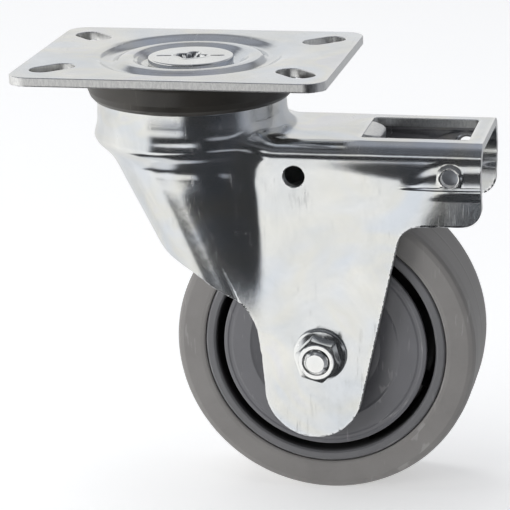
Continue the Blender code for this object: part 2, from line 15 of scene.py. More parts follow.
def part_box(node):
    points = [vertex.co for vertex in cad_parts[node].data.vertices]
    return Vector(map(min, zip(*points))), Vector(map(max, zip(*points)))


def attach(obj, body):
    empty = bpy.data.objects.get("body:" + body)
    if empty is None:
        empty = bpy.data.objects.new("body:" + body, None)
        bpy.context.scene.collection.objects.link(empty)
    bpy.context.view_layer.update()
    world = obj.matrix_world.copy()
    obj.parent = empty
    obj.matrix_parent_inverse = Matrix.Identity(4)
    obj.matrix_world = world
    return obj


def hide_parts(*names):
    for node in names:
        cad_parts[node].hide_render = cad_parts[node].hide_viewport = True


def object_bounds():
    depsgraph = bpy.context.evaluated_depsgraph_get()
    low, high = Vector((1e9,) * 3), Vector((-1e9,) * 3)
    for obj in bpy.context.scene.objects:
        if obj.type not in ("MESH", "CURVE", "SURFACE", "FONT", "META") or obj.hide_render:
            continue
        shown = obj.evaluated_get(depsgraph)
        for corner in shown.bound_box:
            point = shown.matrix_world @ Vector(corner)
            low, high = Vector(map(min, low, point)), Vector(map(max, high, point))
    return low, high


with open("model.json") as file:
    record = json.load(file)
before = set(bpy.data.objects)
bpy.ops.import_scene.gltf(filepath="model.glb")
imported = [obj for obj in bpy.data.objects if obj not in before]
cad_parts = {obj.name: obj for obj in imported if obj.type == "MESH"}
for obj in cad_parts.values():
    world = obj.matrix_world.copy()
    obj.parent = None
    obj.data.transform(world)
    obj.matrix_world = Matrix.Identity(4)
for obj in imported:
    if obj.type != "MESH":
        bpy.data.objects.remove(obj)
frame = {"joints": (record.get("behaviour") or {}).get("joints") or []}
CAD_BOX = [list(corner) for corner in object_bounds()]
MM = 0.001
JOINTS = {joint["name"]: joint for joint in frame["joints"]}
AXLE_X = JOINTS["wheel_spin"]["pos_m"][0] / MM
AXLE_Z = JOINTS["wheel_spin"]["pos_m"][2] / MM


def node_box(node):
    """A CAD node's lowest and highest corners, in millimetres."""
    low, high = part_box(node)
    return low / MM, high / MM


PLATE_LOW, PLATE_HIGH = node_box("top_plate")
FORK_LOW, FORK_HIGH = node_box("fork")
TYRE_LOW, TYRE_HIGH = node_box("tyre")
WHEEL_RADIUS = (TYRE_HIGH.z - TYRE_LOW.z) / 2
TYRE_HALF = TYRE_HIGH.y


SHEET = 3.0
EDGE_ROUND = 0.25
CROWN_TOP = FORK_HIGH.z
CROWN_RADIUS = 31.6
CROWN_BORE = 9.5
CROWN_FILLET, CROWN_INNER_FILLET = 2.6, 1.2
LEG_OUTER = 23.0
DECK_TOP = -23.2
DECK_BEND = 5.6
REAR_END = FORK_HIGH.x
REAR_UNDER = -50.1
REAR_CORNER = 6.3
NOTCH_X, NOTCH_Z, NOTCH_RADIUS = 79.5, -57.7, 7.6
WINDOW_START, WINDOW_END, WINDOW_HALF, WINDOW_CORNER = 59.0, 94.0, 13.3, 1.2
WINDOW_DEPTH = 33.0
TONGUE_END, TONGUE_HALF, TONGUE_CORNER, TONGUE_DROP = 64.3, 9.0, 5.2, 1.5
REAR_HOLE_X, REAR_HOLE_Z, REAR_HOLE_RADIUS = 89.0, -33.5, 2.7
RIDGE_HEIGHT, RIM_HEIGHT = 0.75, 0.45
FOOT_X, FOOT_Z, FOOT_RADIUS = 43.6, -107.7, 16.3
PIVOT_HOLE = (38.5, -34.5, 3.5)
AXLE_HOLE = (AXLE_X, AXLE_Z, 4.35)
REAR_HOLE = (REAR_HOLE_X, REAR_HOLE_Z, REAR_HOLE_RADIUS)
FAR = 99.0

# Every material, by slot where one look serves the slot; build_looks fills it in.
LOOKS = {}

# Meshes from distance fields

NORMAL_PAIRS = ((0, 0), (0, 1), (0, 2), (1, 1), (1, 2), (2, 2))
CELLS_ROUND_EDGE = ((0, 0), (-1, 0), (-1, -1), (0, -1))
MEAN_PULL = 0.03
LONGEST_MOVE = 0.8


def smooth_min(a, b, k):
    """Where two shapes join, with the concave corner filled."""
    h = np.clip(0.5 + 0.5 * (b - a) / k, 0.0, 1.0)
    return b + (a - b) * h - k * h * (1.0 - h)


def round_max(a, b, radius):
    """Where two shapes intersect, with the convex edge rounded."""
    inside = np.minimum(np.maximum(a, b), -radius)
    return inside + np.hypot(np.maximum(a + radius, 0.0), np.maximum(b + radius, 0.0))


def smoothstep(x, start, end):
    t = np.clip((x - start) / (end - start), 0.0, 1.0)
    return t * t * (3.0 - 2.0 * t)


def corner_distance(u, v):
    """Signed distance to a square corner whose sides run back along -u and -v."""
    return np.hypot(np.maximum(u, 0.0), np.maximum(v, 0.0)) + np.minimum(np.maximum(u, v), 0.0)


def rounded_box(u, v, half_u, half_v, radius):
    """Signed distance to a flat rectangle with rounded corners."""
    return corner_distance(np.abs(u) - half_u + radius, np.abs(v) - half_v + radius) - radius


def gradient(field, points, reach=0.02):
    """Unit normals of a field, from central differences."""
    slopes = []
    for axis in range(3):
        shift = np.zeros(3)
        shift[axis] = reach
        slopes.append(field(points + shift) - field(points - shift))
    normals = np.stack(slopes, -1)
    return normals / np.maximum(np.linalg.norm(normals, axis=1, keepdims=True), 1e-9)


def grid_values(field, axes):
    """A field's values on a grid, worked out one slice at a time."""
    counts = [len(axis) for axis in axes]
    values = np.empty(counts)
    across = np.stack(np.meshgrid(axes[1], axes[2], indexing="ij"), -1).reshape(-1, 2)
    for i, x in enumerate(axes[0]):
        points = np.column_stack([np.full(len(across), x), across])
        values[i] = field(points).reshape(counts[1:])
    return values


def crossings(values, low, step, axis):
    """Grid edges along one axis where the field changes sign: index, point, and if it falls."""
    inside = np.moveaxis(values < 0.0, axis, 0)
    index = np.argwhere(np.moveaxis(inside[:-1] != inside[1:], 0, axis))
    after = index.copy()
    after[:, axis] += 1
    start = values[tuple(index.T)]
    end = values[tuple(after.T)]
    points = low + step * index
    points[:, axis] += step * start / (start - end)
    return index, points, start > 0.0


def plane_terms(points, normals):
    """What each crossing adds to a cell's sums: its tangent plane's products, place and count."""
    reach = (normals * points).sum(1)
    terms = [normals[:, i] * normals[:, j] for i, j in NORMAL_PAIRS]
    terms += [normals[:, i] * reach for i in range(3)]
    terms += [points[:, i] for i in range(3)]
    return terms + [np.ones(len(points))]


def nearest_points(sums, step):
    """Each cell's point nearest its crossings' tangent planes, held close to their mean."""
    count = sums[12]
    mean = (sums[9:12] / count).T
    matrix = np.array([sums[[0, 1, 2]], sums[[1, 3, 4]], sums[[2, 4, 5]]]).transpose(2, 0, 1)
    hold = (MEAN_PULL * count)[:, None]
    matrix = matrix + np.eye(3) * hold[:, None]
    target = sums[6:9].T - (matrix @ mean[:, :, None])[:, :, 0] + mean * hold
    move = np.linalg.solve(matrix, target[:, :, None])[:, :, 0]
    length = np.linalg.norm(move, axis=1, keepdims=True)
    move *= np.minimum(1.0, LONGEST_MOVE * step / np.maximum(length, 1e-9))
    return mean + move


def field_mesh(field, low, high, step):
    """Vertices and quads where a field crosses zero, with vertices drawn to its sharp edges.

    Each crossed grid cell gets one vertex, and each crossed grid edge one quad round it.
    """
    low = np.asarray(low, float)
    counts = np.ceil((np.asarray(high) - low) / step).astype(int) + 1
    values = grid_values(field, [low[i] + step * np.arange(counts[i]) for i in range(3)])
    cells = counts - 1
    total = int(np.prod(cells))
    sums = np.zeros((13, total))
    quads = []
    for axis in range(3):
        index, points, falls = crossings(values, low, step, axis)
        terms = plane_terms(points, gradient(field, points))
        around = []
        for step_u, step_v in CELLS_ROUND_EDGE:
            cell = index.copy()
            cell[:, (axis + 1) % 3] += step_u
            cell[:, (axis + 2) % 3] += step_v
            around.append(np.ravel_multi_index(cell.T, cells, mode="clip"))
        for cell in around:
            for k, term in enumerate(terms):
                sums[k] += np.bincount(cell, term, minlength=total)
        quad = np.stack(around, 1)
        quad[falls] = quad[falls][:, ::-1]
        quads.append(quad)
    used = np.flatnonzero(sums[12] > 0.0)
    number = np.zeros(total, int)
    number[used] = np.arange(len(used))
    return nearest_points(sums[:, used], step), number[np.concatenate(quads)]


def corner_normals(field, points, quads, inset=0.3):
    """A field's own normal at every face corner, taken a little way inside the face."""
    corners = points[quads]
    inside = corners + inset * (corners.mean(1, keepdims=True) - corners)
    return gradient(field, inside.reshape(-1, 3))


def make_piece(
    name, points, faces, body, node, materials,
    angle=40.0, face_material=None, normals=None,
):
    """A visible piece from points in millimetres, which stands for one CAD node."""
    mesh = bpy.data.meshes.new(name)
    mesh.from_pydata((np.asarray(points) * MM).tolist(), [], [list(map(int, f)) for f in faces])
    mesh.validate()
    for look in materials:
        mesh.materials.append(look)
    if face_material is not None:
        mesh.polygons.foreach_set("material_index", np.asarray(face_material, np.int32))
    mesh.shade_smooth()
    if normals is None:
        mesh.set_sharp_from_angle(angle=math.radians(angle))
    elif len(mesh.loops) == len(normals):
        mesh.normals_split_custom_set(normals.tolist())
    mesh.update()
    piece = bpy.data.objects.new(name, mesh)
    bpy.context.scene.collection.objects.link(piece)
    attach(piece, body)
    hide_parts(node)


def sheet_piece(name, body, node, field, parts, low, high, step):
    """A pressing made from its distance field, whose cut edges take the sheared look."""
    points, quads = field_mesh(field, low, high, step)
    sheet, cut = parts(points[quads].mean(1))
    make_piece(
        name, points, quads, body, node, [LOOKS["zinc_plate"], LOOKS["sheared"]],
        face_material=cut > sheet + 0.02, normals=corner_normals(field, points, quads),
    )


# The fork


def smooth_curve(knots, steps=40):
    """A fine table of a smooth curve through rows of knots, whose first column rises."""
    knots = np.asarray(knots, float)
    x = knots[:, 0]
    slopes = np.gradient(knots[:, 1:], x, axis=0)
    fine = np.linspace(x[0], x[-1], steps * (len(x) - 1) + 1)
    k = np.clip(np.searchsorted(x, fine, side="right") - 1, 0, len(x) - 2)
    h = (x[k + 1] - x[k])[:, None]
    t = ((fine - x[k]) / h[:, 0])[:, None]
    y0, y1 = knots[k, 1:], knots[k + 1, 1:]
    rise = y0 * (2 * t**3 - 3 * t**2 + 1) + y1 * (3 * t**2 - 2 * t**3)
    rise += h * slopes[k] * (t**3 - 2 * t**2 + t) + h * slopes[k + 1] * (t**3 - t**2)
    return fine, rise


def front_levels():
    """The fork's round front from the bottom up: (height, centre x, radius)."""
    levels = []
    for fall in (60.0, 48.0, 36.0, 24.0, 12.0, 4.0):
        levels.append((-36.0 - fall, 4.5 + 0.333 * fall, 29.6 - 0.16 * fall))
    levels += [(-35.0, 4.0, 29.6), (-32.0, 2.6, 30.0), (-29.4, 1.2, 31.1), (-27.2, 0.3, 32.4)]
    levels += [(-25.6, 0.0, 32.8), (-24.0, 0.0, 32.5), (-22.0, 0.0, 31.9)]
    levels += [(-18.0, 0.0, CROWN_RADIUS), (0.0, 0.0, CROWN_RADIUS)]
    return levels


FRONT_Z, FRONT_SHAPE = smooth_curve(front_levels())
FRONT_COLUMNS = np.hstack([FRONT_SHAPE, np.gradient(FRONT_SHAPE, FRONT_Z, axis=0)]).T


def front_field(p):
    """Distance to the round front, and where the front's centre is at each point's height."""
    centre, radius, lean, taper = (np.interp(p[:, 2], FRONT_Z, column) for column in FRONT_COLUMNS)
    x = p[:, 0] - centre
    reach = np.hypot(x, p[:, 1])
    slope = taper + lean * x / np.maximum(reach, 1.0)
    return (reach - radius) / np.sqrt(1.0 + slope**2), centre


def ridge_height(p):
    """The ridge that runs back to each rear hole, crisp below and soft above, and the hole's rim."""
    x, z = p[:, 0], p[:, 2]
    lower = REAR_HOLE_Z - 3.3 + 0.02 * (x - REAR_HOLE_X)
    upper = lower + 8.0 * smoothstep(x, 66.0, 88.0)
    below = smoothstep(z, lower - 0.9, lower + 0.4)
    above = 1.0 - smoothstep(z, upper - 4.0, upper + 1.0)
    around = np.hypot(x - REAR_HOLE_X, z - REAR_HOLE_Z)
    rim = RIM_HEIGHT * np.exp(-(((around - REAR_HOLE_RADIUS - 0.5) / 0.7) ** 2))
    return RIDGE_HEIGHT * (below * above) * smoothstep(x, 68.0, 85.0) + rim


def leg_lean(p):
    """How far the legs draw in: their tops below the deck's bend, and their rear corners."""
    x, z = p[:, 0], p[:, 2]
    amount = 0.05 + 0.75 * smoothstep(x, 42.0, 82.0)
    start = -32.5 - 4.0 * smoothstep(x, 45.0, 85.0)
    corner = np.maximum(x - 78.0, 0.0)
    curl = np.where(corner < 9.0, 0.004 * corner**2, 0.072 * corner - 0.324)
    curl = curl + 0.05 * np.maximum(-40.0 - z, 0.0) * smoothstep(x, 76.0, 88.0)
    return amount * smoothstep(z, start, -28.0) + curl * smoothstep(-z, 38.0, 41.5)


def channel_field(p, centre):
    """Distance to the deck and legs behind the round front, with their rounded bends."""
    side = np.abs(p[:, 1]) + leg_lean(p)
    section = corner_distance(side - (LEG_OUTER - DECK_BEND), p[:, 2] - (DECK_TOP - DECK_BEND))
    section = section - DECK_BEND - ridge_height(p) * smoothstep(side, 12.0, 20.0)
    return np.maximum(section, centre + 2.0 - p[:, 0])


def arc_points(x, z, radius, start, end, steps):
    angles = np.radians(np.linspace(start, end, steps + 1))
    return np.column_stack([x + radius * np.cos(angles), z + radius * np.sin(angles)])


def side_polygon():
    """The fork's outline from the side, anticlockwise as (x, z) from its front top corner."""
    knee = [(-14.5, -60.2), (-5.5, -64.7), (3.5, -68.7), (11.0, -73.6), (17.6, -77.0)]
    knee += [(21.0, -79.6), (23.5, -83.3), (25.1, -87.6), (26.0, -94.0), (27.0, -103.0)]
    return np.concatenate([
        [(-60.0, 10.0), (-60.0, -38.6)],
        smooth_curve([(i, x, z) for i, (x, z) in enumerate(knee)], 5)[1],
        arc_points(FOOT_X, FOOT_Z, FOOT_RADIUS, 180.0, 347.0, 36),
        arc_points(NOTCH_X, NOTCH_Z, NOTCH_RADIUS, 167.0, 90.0, 14),
        arc_points(REAR_END - REAR_CORNER, REAR_UNDER + REAR_CORNER, REAR_CORNER, 270.0, 360.0, 14),
        [(REAR_END, 10.0)],
    ])


SIDE = side_polygon()


def side_field(x, z):
    """Signed distance to the side outline, negative inside."""
    ends = np.roll(SIDE, -1, axis=0)
    nearest = np.full(len(x), 1e9)
    inside = np.zeros(len(x), bool)
    for (ax, az), (bx, bz) in zip(SIDE, ends):
        ex, ez = bx - ax, bz - az
        t = np.clip(((x - ax) * ex + (z - az) * ez) / (ex * ex + ez * ez), 0.0, 1.0)
        nearest = np.minimum(nearest, (ax + t * ex - x) ** 2 + (az + t * ez - z) ** 2)
        crosses = (az > z) != (bz > z)
        if abs(ez) > 1e-9:
            inside ^= crosses & (x < ax + ex * (z - az) / ez)
    return np.where(inside, -1.0, 1.0) * np.sqrt(nearest)


class SideTable:
    """The side outline's distance, tabulated finely so that it is cheap to ask for."""

    def __init__(self, low, high, step):
        self.low, self.step = np.asarray(low, float), step
        self.counts = np.ceil((np.asarray(high) - self.low) / step).astype(int) + 1
        x, z = np.meshgrid(*[self.low[i] + step * np.arange(self.counts[i]) for i in range(2)], indexing="ij")
        self.values = side_field(x.ravel(), z.ravel()).reshape(self.counts)

    def __call__(self, x, z):
        u = np.clip((x - self.low[0]) / self.step, 0.0, self.counts[0] - 1.001)
        v = np.clip((z - self.low[1]) / self.step, 0.0, self.counts[1] - 1.001)
        i, j = u.astype(int), v.astype(int)
        s, t = u - i, v - j
        near = self.values[i, j] * (1 - t) + self.values[i, j + 1] * t
        far = self.values[i + 1, j] * (1 - t) + self.values[i + 1, j + 1] * t
        return near * (1 - s) + far * s


SIDE_TABLE = SideTable((-40.0, -128.0), (106.0, -5.0), 0.25)


def window_field(x, y):
    """Distance to the deck's window in plan."""
    half = (WINDOW_END - WINDOW_START) / 2
    return rounded_box(x - WINDOW_START - half, y, half, WINDOW_HALF, WINDOW_CORNER)


def tongue_field(p):
    """The lanced tab at the window's front, bent down towards its rounded end."""
    x, y, z = p.T
    start = WINDOW_START - 4.0
    along = (x - WINDOW_START + 2.5) / (TONGUE_END - WINDOW_START + 2.5)
    bend = TONGUE_DROP * np.clip(along, 0.0, 2.0) ** 1.6
    slab = np.abs(z - (DECK_TOP - SHEET / 2) + bend) - SHEET / 2
    half = (TONGUE_END - start) / 2
    plan = rounded_box(x - start - half, y, half, TONGUE_HALF, TONGUE_CORNER)
    return round_max(slab, np.maximum(plan, start + 3.0 - x), 0.3)


def fork_parts(p):
    """The sheet's distance, and the distance to the cuts that sheared it to shape."""
    front, centre = front_field(p)
    blend = 2.6 + 3.4 * smoothstep(p[:, 2], -38.0, -27.0)
    envelope = smooth_min(front, channel_field(p, centre), blend)
    outer = round_max(envelope, p[:, 2] - CROWN_TOP, CROWN_FILLET)
    inner = round_max(envelope + SHEET, p[:, 2] - CROWN_TOP + SHEET, CROWN_INNER_FILLET)
    sheet = np.maximum(outer, -inner)
    x, y, z = p.T
    cut = SIDE_TABLE(x, z)
    window = np.maximum(window_field(x, y), -WINDOW_DEPTH - z)
    cut = np.maximum(cut, -np.where(z > -WINDOW_DEPTH - 3.0, window, FAR))
    for hole_x, hole_z, radius in (PIVOT_HOLE, AXLE_HOLE, REAR_HOLE):
        cut = np.maximum(cut, radius - np.hypot(x - hole_x, z - hole_z))
    cut = np.maximum(cut, CROWN_BORE - np.hypot(x, y) - FAR * (z < -18.0))
    return sheet, cut


def fork_field(p):
    """Distance to the whole fork, with its cut edges slightly rounded."""
    sheet, cut = fork_parts(p)
    return smooth_min(round_max(sheet, cut, EDGE_ROUND), tongue_field(p), 0.15)


def build_fork():
    step = 0.7
    low = [edge - 1.3 for edge in FORK_LOW]
    high = [edge + 1.3 for edge in FORK_HIGH]
    sheet_piece("fork_pressing", "fork", "fork", fork_field, fork_parts, low, high, step)


# The top plate

PLATE_HALF_X = (PLATE_HIGH.x - PLATE_LOW.x) / 2
PLATE_HALF_Y = (PLATE_HIGH.y - PLATE_LOW.y) / 2
PLATE_CORNER = 7.0
PLATE_BORE = 8.6
SLOT_X, SLOT_Y, SLOT_WIDTH, SLOT_LENGTH = 40.2, 24.7, 8.8, 15.6
PRESSING = [(0.0, -3.0), (15.2, -3.0), (16.4, -2.85), (18.4, -1.65), (20.4, -0.6), (21.6, -0.42)]
PRESSING += [(22.7, -0.6), (24.4, -1.5), (26.0, -2.05), (27.6, -2.0), (29.4, -1.4), (31.2, -0.5)]
PRESSING += [(32.8, -0.08), (34.6, 0.0), (40.0, 0.0), (80.0, 0.0)]
PRESS_R, PRESS_Z = smooth_curve(PRESSING)
PRESS_Z = PRESS_Z[:, 0]
PRESS_SLOPE = np.gradient(PRESS_Z, PRESS_R)


def plate_parts(p):
    """The plate's sheet and its cuts: the outline, the four slots and the bore."""
    x, y, z = p.T
    reach = np.hypot(x, y)
    middle = np.interp(reach, PRESS_R, PRESS_Z) - SHEET / 2
    slope = np.interp(reach, PRESS_R, PRESS_SLOPE)
    sheet = np.abs(z - middle) / np.sqrt(1.0 + slope**2) - SHEET / 2
    cut = rounded_box(x, y, PLATE_HALF_X, PLATE_HALF_Y, PLATE_CORNER)
    u, v = np.abs(x) - SLOT_X, np.abs(y) - SLOT_Y
    along, across = (u + v) / math.sqrt(2.0), (v - u) / math.sqrt(2.0)
    slot = rounded_box(along, across, SLOT_LENGTH / 2, SLOT_WIDTH / 2, SLOT_WIDTH / 2 - 0.01)
    cut = np.maximum(cut, -slot)
    return sheet, np.maximum(cut, PLATE_BORE - reach)


def plate_field(p):
    return round_max(*plate_parts(p), 0.3)


def build_plate():
    step = 0.5
    low = tuple(PLATE_LOW - Vector((1.17, 1.23, 1.11)))
    high = tuple(PLATE_HIGH + Vector((1.2, 1.2, 1.2)))
    sheet_piece("plate_pressing", "plate", "top_plate", plate_field, plate_parts, low, high, step)


# Turned pieces


def filleted(corners, steps=5):
    """Rounds the corners of an outline given as (radius, height) or (radius, height, fillet)."""
    points = []
    count = len(corners)
    for i, corner in enumerate(corners):
        here = np.array(corner[:2], float)
        fillet = corner[2] if len(corner) > 2 else 0.0
        before = np.array(corners[i - 1][:2], float) - here
        after = np.array(corners[(i + 1) % count][:2], float) - here
        a, b = np.linalg.norm(before), np.linalg.norm(after)
        if fillet <= 0.0 or a < 1e-9 or b < 1e-9:
            points.append(here)
            continue
        turn = math.acos(np.clip(before @ after / (a * b), -1.0, 1.0))
        if turn > math.radians(176.0):
            points.append(here)
            continue
        back = min(fillet / math.tan(turn / 2), 0.42 * a, 0.42 * b)
        hold = min(back + 0.12, 0.48 * a, 0.48 * b)
        start, end = here + before / a * back, here + after / b * back
        points.append(here + before / a * hold)
        for t in np.linspace(0.0, 1.0, steps + 1):
            points.append((1 - t) ** 2 * start + 2 * t * (1 - t) * here + t**2 * end)
        points.append(here + after / b * hold)
    return points


def divided(points, longest):
    """The same outline with its long sides split."""
    out = []
    for a, b in zip(points, points[1:] + points[:1]):
        parts = max(1, math.ceil(np.linalg.norm(np.subtract(b, a)) / longest))
        if a[0] < 1e-6 and b[0] < 1e-6:
            parts = 1
        out += [np.add(a, np.subtract(b, a) * (k / parts)) for k in range(parts)]
    return out


def turned_faces(outline, steps=96, shape=None, angles=None):
    """Points and faces of an outline turned about Z; shape moves each (radius, angle, height)."""
    if angles is None:
        angles = np.arange(steps) * (2.0 * math.pi / steps)
    steps = len(angles)
    points, rings = [], []
    for radius, height in outline:
        if radius < 1e-6:
            rings.append([len(points)])
            if shape is not None:
                height = float(shape(np.zeros(1), np.zeros(1), np.full(1, height))[1][0])
            points.append((0.0, 0.0, height))
            continue
        rings.append(list(range(len(points), len(points) + steps)))
        r, z = np.full(steps, radius), np.full(steps, height)
        if shape is not None:
            r, z = shape(r, angles, z)
        points += list(zip(r * np.cos(angles), r * np.sin(angles), z))
    faces = []
    for here, there in zip(rings, rings[1:] + rings[:1]):
        if len(here) == 1 and len(there) == 1:
            continue
        for i in range(steps):
            j = (i + 1) % steps
            ring = [here[i % len(here)], here[j % len(here)], there[j % len(there)], there[i % len(there)]]
            faces.append(list(dict.fromkeys(ring)))
    return np.array(points), faces


def outward(points, faces):
    """Turns the faces round if they enclose a negative volume."""
    volume = 0.0
    for face in faces:
        a = points[face[0]]
        for k in range(1, len(face) - 1):
            volume += np.dot(a, np.cross(points[face[k]], points[face[k + 1]]))
    return faces if volume > 0.0 else [face[::-1] for face in faces]


def on_axle(points):
    """Moves points from round Z to round the axle, with +Z turned to the near side."""
    x, y, z = points.T
    return np.column_stack([x + AXLE_X, -z, y + AXLE_Z])


def joined(*parts):
    """Several closed shapes as one, each with its faces outward."""
    points, faces = [], []
    for more_points, more_faces in parts:
        faces += [[k + len(points) for k in face] for face in outward(more_points, more_faces)]
        points += list(more_points)
    return np.array(points), faces


def turned_piece(
    name, corners, body, node, slot,
    steps=96, longest=None, shape=None, axle=False, angle=35.0, extra=(), look=None, angles=None,
):
    """A piece turned about the swivel axis, or the axle; its look is its slot's unless given."""
    outline = filleted(corners)
    if longest:
        outline = divided(outline, longest)
    points, faces = joined(turned_faces(outline, steps, shape, angles), *extra)
    if axle:
        points = on_axle(points)
    make_piece(name, points, faces, body, node, [LOOKS[look or slot]], angle)


def ring_section(inner, outer, top, bottom, fillet, rim_fillet=None):
    """The four corners of a plain ring's section."""
    rim = rim_fillet or fillet
    return [(inner, top, fillet), (outer, top, rim), (outer, bottom, rim), (inner, bottom, fillet)]


def flipped(corners):
    """An outline's mirror image below the middle, in the order that carries it on."""
    return [(radius, -height, *fillet) for radius, height, *fillet in reversed(corners)]


def ball(centre, radius, steps=28):
    """A sphere as points and faces."""
    tilts = np.linspace(0.0, math.pi, steps // 2 + 1)[1:-1]
    outline = [(radius * math.sin(t), radius * math.cos(t)) for t in tilts]
    outline = [(0.0, radius), *outline, (0.0, -radius)]
    points, faces = turned_faces(outline, steps)
    return points + np.array(centre), faces


def balls(pitch, radius, count, height):
    turns = [2.0 * math.pi * i / count for i in range(count)]
    return [ball((pitch * math.cos(a), pitch * math.sin(a), height), radius) for a in turns]


def cage_shape(pitch, count, swell, wave, centre):
    """A cage's ring: wider round each ball, and waved along the axis."""

    def shape(r, angle, z):
        near = 0.5 + 0.5 * np.cos(count * angle)
        radius = pitch + (r - pitch) * (1.0 + swell * near**3)
        return radius, z + wave * (near - 0.5) * np.sign(z - centre)

    return shape


def kingpin_shape(top):
    """Stakes a lobed hole and two slits in the pin's head."""

    def shape(r, angle, z):
        lobes = 4.1 + 0.75 * np.cos(4 * angle + 0.5) + 0.3 * np.cos(3 * angle + 2.0)
        lobes = lobes + 0.15 * np.cos(7 * angle)
        hole = 1.0 - smoothstep(r, lobes - 0.7, lobes + 0.5)
        lip = np.exp(-(((r - lobes - 1.0) / 0.7) ** 2))
        across = r * np.abs(np.sin(angle - 0.12))
        slit = (1.0 - smoothstep(across, 0.18, 0.5)) * smoothstep(r, 3.0, 4.5)
        slit = slit * (1.0 - smoothstep(r, 10.6, 11.4))
        raised = 0.18 * lip * (1.0 - slit) - 2.6 * hole - 0.8 * slit * (1.0 - hole)
        face = (np.abs(z - top) < 0.6) & (r < 12.8)
        return r, z + np.where(face, raised, 0.0)

    return shape


# The swivel head

PIN_SHANK, PIN_HEAD_UNDER = 8.3, -2.7
RACE_BORE, RACE_WALL = 8.6, 18.4
CAGE_HALF_WIDTH, CAGE_HALF_HEIGHT = 1.2, 0.5
BALL_RACES = (
    ("upper_balls", "upper_race", 24.0, 3.0, 14),
    ("lower_balls", "lower_race_balls", 15.0, 2.5, 10),
)
SEAL_LIP, SEAL_LIP_UNDER = 28.2, -10.7


def build_kingpin():
    """The rivet through the head, with a staked top and a foot under the lower race."""
    low, high = node_box("kingpin")
    top, bottom = high.z, low.z
    foot = bottom + 2.2
    pin = [(0.0, top), (high.x, top, 0.6), (high.x, PIN_HEAD_UNDER, 0.2)]
    pin += [(PIN_SHANK, PIN_HEAD_UNDER, 0.3), (PIN_SHANK, foot, 0.3), (12.5, foot, 0.5)]
    pin += [(12.0, bottom, 0.8), (4.6, bottom, 0.5), (3.4, bottom + 1.4, 0.4), (0.0, bottom + 1.6)]
    turned_piece(
        "kingpin_rivet", pin, "plate", "kingpin", "bright_zinc",
        steps=160, longest=0.35, shape=kingpin_shape(top),
    )


def build_lower_race():
    """The cup that holds the lower balls against the crown."""
    low, high = node_box("lower_race")
    rim = high.x
    race = [(RACE_BORE, -19.6, 0.2), (13.2, -19.6, 0.9), (15.2, -20.0, 1.4), (RACE_WALL, -18.2, 0.9)]
    race += [(RACE_WALL, high.z, 0.3), (rim, high.z, 0.4), (rim, low.z + 1.2, 1.6)]
    race += [(rim - 1.8, low.z, 0.9), (RACE_BORE, low.z, 0.3)]
    turned_piece("lower_race_cup", race, "plate", "lower_race", "zinc_plate")


def build_ball_race(node, body, pitch, radius, count):
    """A full ring of balls, with the thin cage that strings them together."""
    low, high = node_box(node)
    middle = (low.z + high.z) / 2
    cage = ring_section(
        pitch - CAGE_HALF_WIDTH, pitch + CAGE_HALF_WIDTH,
        middle + CAGE_HALF_HEIGHT, middle - CAGE_HALF_HEIGHT, 0.2,
    )
    turned_piece(
        f"{node}_race", cage, body, node, "ball_steel", steps=20 * count,
        shape=cage_shape(pitch, count, 0.9, 0.15, middle), extra=balls(pitch, radius, count, middle),
    )


def build_dust_seal():
    """The dark ring that closes the gap between the plate and the crown."""
    low, high = node_box("dust_seal")
    rim, top, bottom = high.x, high.z, low.z
    seal = [(33.0, top, 0.3), (rim - 0.35, top - 0.25, 0.5), (rim, top - 1.6, 0.8)]
    seal += [(rim, bottom + 3.4, 1.2), (rim - 0.7, bottom + 1.4, 1.2), (rim - 1.9, bottom, 0.7)]
    seal += [(31.9, bottom, 0.3), (31.9, SEAL_LIP_UNDER, 0.3), (SEAL_LIP, SEAL_LIP_UNDER, 0.3)]
    seal += [(SEAL_LIP, -7.4, 0.5), (31.0, -5.6, 0.8)]
    turned_piece("dust_seal_ring", seal, "fork", "dust_seal", "dark_seal", 144, 0.8)


# Axle and bearings

HEX_FLATS, HEX_TURN = 13.0, math.radians(15.0)
HEX_MARK = 7.2
BOLT_RADIUS, BOLT_HEAD = 4.0, 5.3
THREAD_PITCH, THREAD_DEPTH, THREAD_START = 1.25, 0.62, 26.0
BEARING_BORE, INNER_SHOULDER, OUTER_SHOULDER, BEARING_RIM = 6.0, 8.4, 11.6, 14.0


def axle_span(node):
    """The heights a node spans along the axle, from its far end to its near end."""
    low, high = node_box(node)
    return -high.y, -low.y


def hex_radius(angle):
    """Distance to a hexagon's side, with its corners slightly rounded."""
    sharp = HEX_FLATS / 2 / np.cos((angle + HEX_TURN) % math.radians(60.0) - math.radians(30.0))
    return np.minimum(sharp, HEX_FLATS / 2 / math.cos(math.radians(30.0)) - 0.16)


def on_hex(r):
    """The outline's points that stand for a hexagon's flanks."""
    return np.abs(r - HEX_MARK) < 0.01


def build_nut():
    """A hexagon nut with a chamfered crown, on its round flange."""
    low, high = node_box("axle_nut")
    seat, top = axle_span("axle_nut")
    flange = (high.x - low.x) / 2
    skirt, skirt_top = flange - 0.7, seat + 1.2

    def shape(r, angle, z):
        flank = hex_radius(angle)
        crown = top - 0.35 - 0.12 * (flank - 5.9)
        cone = skirt_top + 0.32 * np.maximum(skirt - flank, 0.0)
        hexed = on_hex(r)
        return np.where(hexed, flank, r), np.where(hexed, np.where(z > seat + 4.0, crown, cone), z)

    bore = BOLT_RADIUS + 0.12
    nut = [(bore, top - 0.7), (bore + 0.5, top), (5.7, top), (5.95, top - 0.3), (HEX_MARK, top - 0.5)]
    nut += [(HEX_MARK, seat + 1.6), (skirt, skirt_top, 0.4), (flange, seat + 0.8, 0.4)]
    nut += [(flange - 0.1, seat, 0.2), (bore, seat)]
    turned_piece(
        "flange_nut", nut, "fork", "axle_nut", "bright_zinc",
        steps=192, shape=shape, axle=True, angle=20.0,
    )


